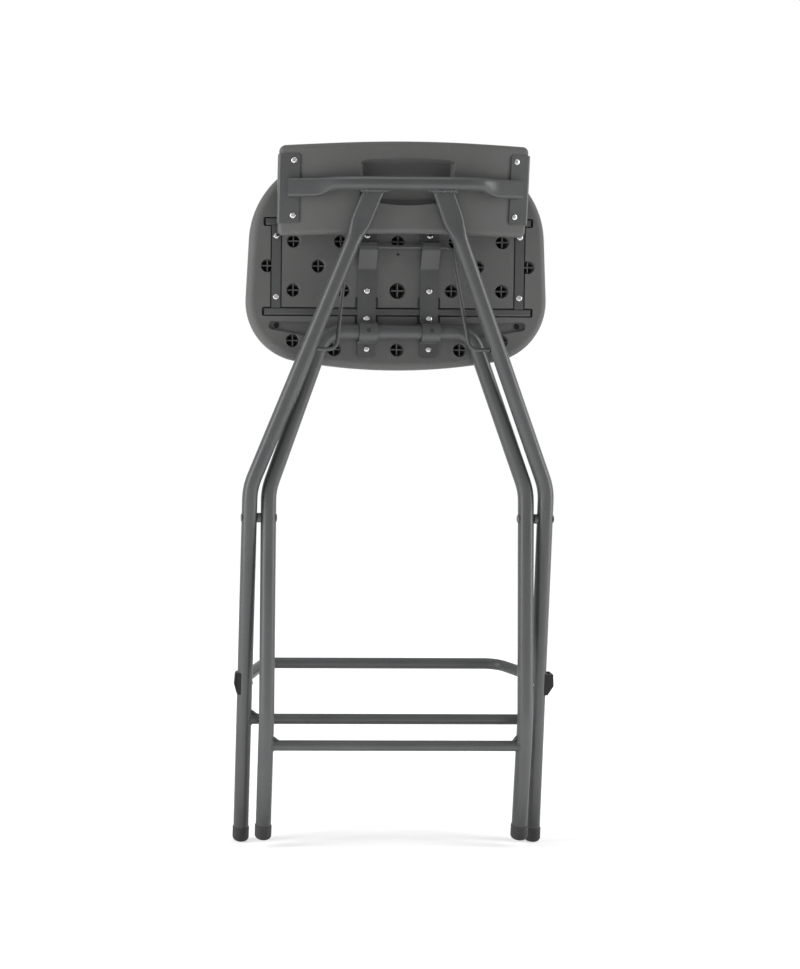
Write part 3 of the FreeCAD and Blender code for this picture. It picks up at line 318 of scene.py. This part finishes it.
TUBE = 12.7
RAIL = 8.75
BOW = 9.5
RAIL_BEAD = 1.5
SADDLE_POINTS = 72
FRONT_FOOT_SPREAD = 249.0
FRONT_LEG_BELOW = 555.4
FRONT_BEND = Vector((245.0, 0, 50.0))
FRONT_TOP = Vector((51.5, 0, 543.0))
BOW_DOWN = 269.5
BOW_INSET = 41.0
BOW_DEPTH = 90.0
FRONT_RAIL_DOWN = 342.5
REAR_KINK_DOWN = 330.0
REAR_KINK_TURN = 9.0
REAR_FOOT_LENGTH = 211.7
REAR_FOOT_SPREAD = 215.5
REAR_RAIL_UP = 163.2
GUSSET_HALF = 2.0
GUSSET_INSET = 2.5
GUSSET_WAIST_OUT = 0.45
GUSSET_WAIST_UP = 0.42
GUSSET_ROUND = 0.6
GUSSETS = {"left": (11.0, 7.6), "right": (7.6, 11.0)}


def front_leg_x(height):
    """How far the front leg's axis is from the middle, under the bend."""
    share = (height + FRONT_LEG_BELOW) / (FRONT_BEND.z + FRONT_LEG_BELOW)
    return FRONT_FOOT_SPREAD + (FRONT_BEND.x - FRONT_FOOT_SPREAD) * share


def saddle(centre, axis, side, up, rail):
    """The line where a rail leaves a leg: the rail runs along axis and the leg along up."""
    line = []
    for angle in (FULL_TURN * index / SADDLE_POINTS for index in range(SADDLE_POINTS)):
        across = rail * math.cos(angle)
        reach = math.sqrt(TUBE ** 2 - across ** 2)
        line.append(centre + (axis * reach + side * across + up * (rail * math.sin(angle))) * MM)
    return line


def rail_weld(name, body, centre, axis, side, up, rail=RAIL):
    build = bmesh.new()
    bead(build, saddle(centre, axis, side, up, rail), RAIL_BEAD, closed=True)
    piece(name, finished(name, build), body, "powder_coat")


def gusset(name, body, centre, axis, side, up, run, rise):
    """A small web over a rail's end, against the leg."""
    outline = ((TUBE - GUSSET_INSET, RAIL - GUSSET_INSET),
               (TUBE + run, RAIL - GUSSET_INSET),
               (TUBE + run, RAIL),
               (TUBE + run * GUSSET_WAIST_OUT, RAIL + rise * GUSSET_WAIST_UP),
               (TUBE, RAIL + rise),
               (TUBE - GUSSET_INSET, RAIL + rise))
    build = bmesh.new()
    faces = []
    for edge in (-GUSSET_HALF, GUSSET_HALF):
        faces.append([build.verts.new(centre + (axis * along + up * high + side * edge) * MM)
                      for along, high in outline])
        build.faces.new(faces[-1])
    wall(build, *faces)
    bmesh.ops.bevel(build, geom=build.edges[:], offset=GUSSET_ROUND * MM, segments=2,
                    affect="EDGES")
    piece(name, finished(name, build), body, "powder_coat")


kink = math.radians(REAR_KINK_TURN)
rear_rail_drop = REAR_FOOT_LENGTH - REAR_RAIL_UP
for name, side in SIDES:
    leg_x = side * front_leg_x(-BOW_DOWN)
    bow_way = Vector((-side * BOW_INSET, BOW_DEPTH, 0)).normalized()
    rail_weld(f"weld_bow_{name}", "front_frame", front.at(leg_x, 0, -BOW_DOWN),
              front.way(*bow_way), front.way(bow_way.y, -bow_way.x, 0), front.way(0, 0, 1), BOW)
    leg_x = side * front_leg_x(-FRONT_RAIL_DOWN)
    rear_end = rear.at(side * REAR_FOOT_SPREAD, rear_rail_drop * math.sin(kink),
                       -REAR_KINK_DOWN - rear_rail_drop * math.cos(kink))
    rear_up = rear.way(0, -math.sin(kink), math.cos(kink))
    for label, body, plane, centre, up in (
            ("front", "front_frame", front, front.at(leg_x, 0, -FRONT_RAIL_DOWN),
             front.way(0, 0, 1)),
            ("rear", "rear_frame", rear, rear_end, rear_up)):
        inward = plane.way(-side, 0, 0)
        forward = up.cross(inward)
        rail_weld(f"weld_{label}_rail_{name}", body, centre, inward, forward, up)
        gusset(f"gusset_{label}_rail_{name}", body, centre, inward, forward, up, *GUSSETS[name])


# Welds of the legs' flat tops under the backrest's crossbar

FLAT_HALF_WIDTH = 16.5
FLAT_HALF_THICKNESS = 6.0
WIDTH_POWER = 0.6
THICKNESS_POWER = 0.8
BACK_BAR = 11.1
BACK_BAR_SET = -5.6
TOP_BEAD = 3.8
TOP_BEAD_OUT = 1.4
TOP_BEAD_WIDER = 1.6
TOP_POINTS = 96
TOP_RIPPLE = 0.24
TOP_RIPPLE_PITCH = 4.6


def signed_power(value, power):
    """A power that keeps the value's sign."""
    return math.copysign(abs(value) ** power, value)


for name, side in SIDES:
    way = (FRONT_TOP - FRONT_BEND).normalized()
    way.x *= side
    across = Vector((way.z, 0, -way.x))
    line = []
    for turn in (FULL_TURN * step / TOP_POINTS for step in range(TOP_POINTS)):
        wide = (FLAT_HALF_WIDTH + TOP_BEAD_WIDER) * signed_power(math.cos(turn), WIDTH_POWER)
        thick = FLAT_HALF_THICKNESS * signed_power(math.sin(turn), THICKNESS_POWER)
        inside = BACK_BAR ** 2 - (thick - BACK_BAR_SET) ** 2
        drop = math.sqrt(max(inside, 0))
        run = (-drop - across.z * wide) / way.z
        line.append(front.at(side * FRONT_TOP.x + across.x * wide + way.x * run,
                             thick + math.copysign(TOP_BEAD_OUT, thick),
                             FRONT_TOP.z + across.z * wide + way.z * run))
    build = bmesh.new()
    bead(build, line, TOP_BEAD, closed=True, ripple=TOP_RIPPLE, pitch=TOP_RIPPLE_PITCH)
    piece(f"weld_leg_top_{name}", finished("weld_leg_top", build), "front_frame", "powder_coat")


# Welds of the crossbar's ends on the backrest's plates

PLATE_SPREAD = 180.4
PANEL_HALF = 203.0
PANEL_WRAP = 30.0
PANEL_BACK = 6.0
PLATE = 2.0
BAR_END_DROP = 6.0
BAR_END_HEIGHT = 30.0
BAR_END_IN = 10.0
BAR_END_OUT = 8.0
BEAD_LIFT = 1.2
BAR_END_INSET = 2.0
LONG_BEAD = 2.2
LONG_RIPPLE_PITCH = 3.2
LONG_STEPS = 40
SHORT_BEAD = 1.5
SHORT_STEPS = 50


def shares(steps):
    """Even shares from zero to one."""
    return [step / steps for step in range(steps + 1)]


panel_radius = (PANEL_HALF ** 2 + PANEL_WRAP ** 2) / (2 * PANEL_WRAP)
plate_turn = math.asin(PLATE_SPREAD / panel_radius)
plate_depth = PANEL_BACK + panel_radius * (1 - math.cos(plate_turn))
for name, side in SIDES:
    along = Vector((side * math.cos(plate_turn), math.sin(plate_turn), 0))
    out = Vector((side * math.sin(plate_turn), -math.cos(plate_turn), 0))
    start = Vector((side * PLATE_SPREAD, plate_depth, FRONT_TOP.z - BAR_END_DROP))
    start = start + out * (PLATE + BEAD_LIFT)
    edge = BAR_END_HEIGHT / 2 - BAR_END_INSET
    build = bmesh.new()
    for height in (edge, -edge):
        spots = [start + along * (BAR_END_OUT - share * (BAR_END_OUT + BAR_END_IN))
                 + Vector((0, 0, height)) for share in shares(LONG_STEPS)]
        bead(build, [front.at(*spot) for spot in spots], LONG_BEAD, pitch=LONG_RIPPLE_PITCH)
    spots = [start + along * BAR_END_OUT + Vector((0, 0, edge - share * 2 * edge))
             for share in shares(SHORT_STEPS)]
    bead(build, [front.at(*spot) for spot in spots], SHORT_BEAD)
    piece(f"weld_bracket_{name}", finished("weld_bracket", build), "front_frame", "powder_coat")


# Screws with cross recesses, in the places of the plain ones

SCREW_HEAD = 4.7
SCREW_RISE = 2.4
SCREW_RIM = 0.7
SCREW_SINK = 0.4
DOME_STEPS = 7
RECESS_FLOOR = (-1.9, 1.3, 0.6)
RECESS_MOUTH = (0.4, 3.3, 1.0)
SAME_POINT = 1e-6
SCREW_END = 0.2
AXIS_ROUNDS = 3
SHANK = ((0, -13.0), (2.0, -13.0), (2.0, 0.2), (0, 0.2))
TURN_EACH = 37


def cut_away(base, tool):
    """The mesh of one closed mesh less another."""
    objects = [bpy.data.objects.new(mesh.name, mesh) for mesh in (base, tool)]
    for made in objects:
        bpy.context.collection.objects.link(made)
    change = objects[0].modifiers.new("cut", "BOOLEAN")
    change.operation = "DIFFERENCE"
    change.object = objects[1]
    change.solver = "EXACT"
    seen = objects[0].evaluated_get(bpy.context.evaluated_depsgraph_get())
    mesh = bpy.data.meshes.new_from_object(seen)
    for made in objects:
        bpy.data.objects.remove(made)
    return mesh


def screw_head():
    """A pan head with a cross recess; its underside is at the origin and it faces +Z."""
    up = Vector((0, 0, 1))
    build = bmesh.new()
    dome = [(SCREW_HEAD * math.cos(turn), SCREW_RIM + (SCREW_RISE - SCREW_RIM) * math.sin(turn))
            for turn in (math.pi / 2 * step / DOME_STEPS for step in range(DOME_STEPS))]
    profile = [(0, -SCREW_SINK), (SCREW_HEAD, -SCREW_SINK)] + dome + [(0, SCREW_RISE)]
    turned(build, profile, Vector(), up)
    head = finished("screw_head", build)
    tool_build = bmesh.new()
    for turn in (0, math.pi / 2):
        way = Vector((math.cos(turn), math.sin(turn), 0))
        side = up.cross(way)
        ends = []
        for over, reach, half in (RECESS_FLOOR, RECESS_MOUTH):
            high = SCREW_RISE + over
            spots = [way * (reach * x) + side * (half * y) + up * high
                     for x, y in ((-1, -1), (1, -1), (1, 1), (-1, 1))]
            ends.append([tool_build.verts.new(spot * MM) for spot in spots])
            tool_build.faces.new(ends[-1])
        wall(tool_build, *ends)
    return cut_away(head, finished("screw_tool", tool_build))


def loose_parts(node):
    """The corner points of each separate solid of a CAD node, in the same order each run."""
    build = bmesh.new()
    build.from_mesh(frame["nodes"][node].data)
    bmesh.ops.remove_doubles(build, verts=build.verts, dist=SAME_POINT)
    left = set(build.verts)
    parts = []
    for first in build.verts:
        if first not in left:
            continue
        left.remove(first)
        stack = [first]
        found = []
        while stack:
            vertex = stack.pop()
            found.append(vertex.co.copy())
            for edge in vertex.link_edges:
                other = edge.other_vert(vertex)
                if other in left:
                    left.remove(other)
                    stack.append(other)
        parts.append(found)
    build.free()
    return parts


def screw_places(node, outward):
    """Where each screw's head sits, and which way it faces."""
    margin = SCREW_END * MM
    for points in loose_parts(node):
        middle = sum(points, Vector()) / len(points)
        axis = outward(middle)
        for _ in range(AXIS_ROUNDS):
            heights = [point.dot(axis) for point in points]
            highest = max(heights) - margin
            lowest = min(heights) + margin
            top = [point for point, height in zip(points, heights) if height > highest]
            end = [point for point, height in zip(points, heights) if height < lowest]
            tip = sum(top, Vector()) / len(top)
            axis = (tip - sum(end, Vector()) / len(end)).normalized()
        yield tip - axis * (SCREW_RISE * MM), axis


def from_panel(middle):
    """Out of the backrest's plates, to the rear."""
    side = middle.x - joint_places["fold"][0]
    return front.way(math.copysign(math.sin(plate_turn), side), -math.cos(plate_turn), 0)


def from_seat(middle):
    """Out of the seat's underside, to the rear."""
    return seat.way(0, -1, 0)


head_mesh = screw_head()
for node, body, outward in (("backrest_screws", "front_frame", from_panel),
                            ("side_bar_screws", "seat", from_seat),
                            ("strap_screws", "seat", from_seat)):
    build = bmesh.new()
    for number, (spot, axis) in enumerate(screw_places(node, outward)):
        turn = Matrix.Rotation(math.radians(TURN_EACH * number), 4, "Z")
        facing = axis.to_track_quat("Z", "Y").to_matrix().to_4x4()
        single = head_mesh.copy()
        single.transform(Matrix.Translation(spot) @ facing @ turn)
        build.from_mesh(single)
        turned(build, SHANK, spot, axis, sides=20)
    mesh = bpy.data.meshes.new(node)
    build.to_mesh(mesh)
    build.free()
    made = piece(f"{node}_crossed", mesh, body, "zinc", smooth=False)
    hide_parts(node)


# Crossed ribs in the seat's pits

SEAT_FACE = 9.0
RIB_DOWN = 3.0
RIB_HALF = 0.9
PIT_DEPTH = 22.0
PIT_HALF = 10.5
PIT_ROWS = (
    (150.0, (0, 95.0, 173.5)),
    (109.0, (132.0, 216.5)),
    (69.0, (0, 90.0, 173.5)),
    (-14.5, (173.5,)),
    (-28.5, (0, 105.0)),
)
build = bmesh.new()
rib_middle = SEAT_FACE + (RIB_DOWN + PIT_DEPTH) / 2
rib_deep = (PIT_DEPTH - RIB_DOWN) / 2
seat_ways = [seat.way(1, 0, 0), seat.way(0, 1, 0), seat.way(0, 0, 1)]
for height, spreads in PIT_ROWS:
    for spread in spreads:
        for side in ((-1, 1) if spread else (1,)):
            centre = seat.at(side * spread, rib_middle, height)
            block(build, centre, seat_ways, (PIT_HALF, rib_deep, RIB_HALF))
            block(build, centre, seat_ways, (RIB_HALF, rib_deep, PIT_HALF))
piece("pit_ribs", finished("pit_ribs", build), "seat", "moulded_plastic", smooth=False)


# Socket screws that stop the straps from sliding along the crossbar, and plugs in the round ends
# of the seat's tapered relief, both near-black: their black is painted shade that stands in for the
# dark inside the holes there. Their profiles are radii and heights over the face they sit in.

STRAP_SPREAD = 51.8
STRAP_OUT = 15.5
SET_SCREW_UP = 1.5
SET_SCREW = ((0, -0.2), (0.7, -0.2), (0.9, -0.9), (1.7, -0.9), (1.9, 0.6), (2.5, 0.6),
             (2.9, 0.1), (2.9, -1.4), (0, -1.4))
RELIEF_FLOOR = 14.0
RELIEF_END = 200.4
RELIEF_END_UP = 11.0
RELIEF_PLUG = ((0, 0.3), (2.4, 0.3), (2.9, 1.5), (3.9, 1.5), (4.4, 0.6), (4.4, -1.0), (0, -1.0))

# Both pieces are near-black: painted shade for the dark holes in the straps and at the relief's
# ends.
for label, profile, sides, spread, depth, up in (
        ("strap_set_screw_hole_shade", SET_SCREW, 24, STRAP_SPREAD, -STRAP_OUT, SET_SCREW_UP),
        ("relief_plug_hole_shade", RELIEF_PLUG, 28, RELIEF_END, RELIEF_FLOOR, RELIEF_END_UP)):
    for name, side in SIDES:
        build = bmesh.new()
        turned(build, profile, seat.at(side * spread, depth, up), seat.way(0, -1, 0), sides)
        piece(f"{label}_{name}", finished(label, build), "seat", "clip_plastic", smooth=False)


# Camera, matched to the photograph, with the view shifted sideways. Its far limit is in metres.

DISTANCE = 2300.0
FOCAL_PIXELS = 1396.0
SENSOR = 36.0
LONG_SIDE = 969
YAW = 0.96
PITCH = 1.05
ROLL = -0.305
AIM_X = -478.3
AIM_Z = 605.4
SHIFT = 0.301
FAR_LIMIT = 100


def add_camera():
    yaw, pitch, roll = (math.radians(angle) for angle in (YAW, PITCH, ROLL))
    forward = Vector((math.sin(yaw) * math.cos(pitch), math.cos(yaw) * math.cos(pitch),
                      -math.sin(pitch)))
    level = Vector((math.cos(yaw), -math.sin(yaw), 0))
    upright = level.cross(forward)
    right = level * math.cos(roll) - upright * math.sin(roll)
    above = level * math.sin(roll) + upright * math.cos(roll)
    data = bpy.data.cameras.new("camera")
    data.sensor_width = SENSOR
    data.lens = FOCAL_PIXELS * SENSOR / LONG_SIDE
    data.shift_x = SHIFT
    data.clip_end = FAR_LIMIT
    camera = bpy.data.objects.new("camera", data)
    bpy.context.collection.objects.link(camera)
    pivot = Vector(joint_places["fold"])
    ground = pivot.z - FRONT_LEG_BELOW * math.cos(math.radians(FRONT_LEAN)) * MM
    aim = Vector((pivot.x + AIM_X * MM, pivot.y, ground + AIM_Z * MM))
    place = Matrix((right, above, -forward)).transposed().to_4x4()
    place.translation = aim - forward * DISTANCE * MM
    camera.matrix_world = place
    bpy.context.scene.camera = camera


add_camera()


# Floor, backdrop and light, with places and sizes in metres

FLOOR_REACH = 6.0
FLOOR_DROP = 0.0005
NEAR_FLOOR = 0.5
FAR_FLOOR = 1.8
MIDDLE = (0, 0, 0.75)


def joined(nodes, links, operation, one, other):
    """What a named operation makes of two sockets' values."""
    made = nodes.new("ShaderNodeMath")
    made.operation = operation
    links.new(one, made.inputs[0])
    links.new(other, made.inputs[1])
    return made.outputs[0]


def seen_directly(nodes, links):
    """One where the ray comes from the camera, a mirror or glass, and zero for other light."""
    path = nodes.new("ShaderNodeLightPath").outputs
    mirrored = joined(nodes, links, "MAXIMUM", path["Is Glossy Ray"], path["Is Transmission Ray"])
    return joined(nodes, links, "MAXIMUM", path["Is Camera Ray"], mirrored)


def white_ground(name, diffuse, glow, far_glow):
    """A white floor that keeps the shadow: its own light is only seen, and lights nothing."""
    material = bpy.data.materials.new(name)
    material.use_nodes = True
    nodes = material.node_tree.nodes
    links = material.node_tree.links
    nodes.clear()
    out = nodes.new("ShaderNodeOutputMaterial")
    add = nodes.new("ShaderNodeAddShader")
    matte = nodes.new("ShaderNodeBsdfDiffuse")
    matte.inputs["Color"].default_value = (diffuse, diffuse, diffuse, 1)
    shine = nodes.new("ShaderNodeEmission")
    away = nodes.new("ShaderNodeVectorMath")
    away.operation = "LENGTH"
    links.new(nodes.new("ShaderNodeTexCoord").outputs["Object"], away.inputs[0])
    fade = nodes.new("ShaderNodeMapRange")
    fade.inputs["From Min"].default_value = NEAR_FLOOR
    fade.inputs["From Max"].default_value = FAR_FLOOR
    fade.inputs["To Min"].default_value = glow
    fade.inputs["To Max"].default_value = far_glow
    links.new(away.outputs["Value"], fade.inputs["Value"])
    strength = joined(nodes, links, "MULTIPLY", seen_directly(nodes, links),
                      fade.outputs["Result"])
    links.new(strength, shine.inputs["Strength"])
    links.new(matte.outputs[0], add.inputs[0])
    links.new(shine.outputs[0], add.inputs[1])
    links.new(add.outputs[0], out.inputs["Surface"])
    return material


def add_floor(diffuse, glow, far_glow):
    build = bmesh.new()
    bmesh.ops.create_grid(build, x_segments=1, y_segments=1, size=FLOOR_REACH)
    mesh = finished("floor", build)
    floor = bpy.data.objects.new("floor", mesh)
    floor.location.z = -FLOOR_DROP
    mesh.materials.append(white_ground("floor", diffuse, glow, far_glow))
    bpy.context.collection.objects.link(floor)


def add_world(light):
    world = bpy.data.worlds.new("studio")
    bpy.context.scene.world = world
    world.use_nodes = True
    nodes = world.node_tree.nodes
    links = world.node_tree.links
    ground = nodes["Background"]
    ground.inputs["Color"].default_value = (1, 1, 1, 1)
    strength = nodes.new("ShaderNodeMapRange")
    strength.inputs["To Min"].default_value = light
    strength.inputs["To Max"].default_value = 1.0
    links.new(seen_directly(nodes, links), strength.inputs["Value"])
    links.new(strength.outputs["Result"], ground.inputs["Strength"])


def add_lamp(name, place, aim, width, height, power):
    data = bpy.data.lights.new(name, "AREA")
    data.shape = "RECTANGLE"
    data.size = width
    data.size_y = height
    data.energy = power
    lamp = bpy.data.objects.new(name, data)
    lamp.location = place
    lamp.rotation_euler = (Vector(aim) - Vector(place)).to_track_quat("-Z", "Y").to_euler()
    lamp.visible_camera = False
    bpy.context.collection.objects.link(lamp)


add_floor(diffuse=0.8, glow=0.5, far_glow=0.88)
add_world(light=0.2)
add_lamp("left", (-2.5, -0.6, 1.2), MIDDLE, width=0.9, height=2.4, power=68)
add_lamp("right", (2.5, -0.6, 1.2), MIDDLE, width=0.9, height=2.4, power=56)
add_lamp("top", (0, -0.4, 3.2), MIDDLE, width=1.6, height=1.2, power=18)
add_lamp("low", (0, -0.9, 0.01), (0, -0.9, 1), width=3.0, height=1.6, power=23)
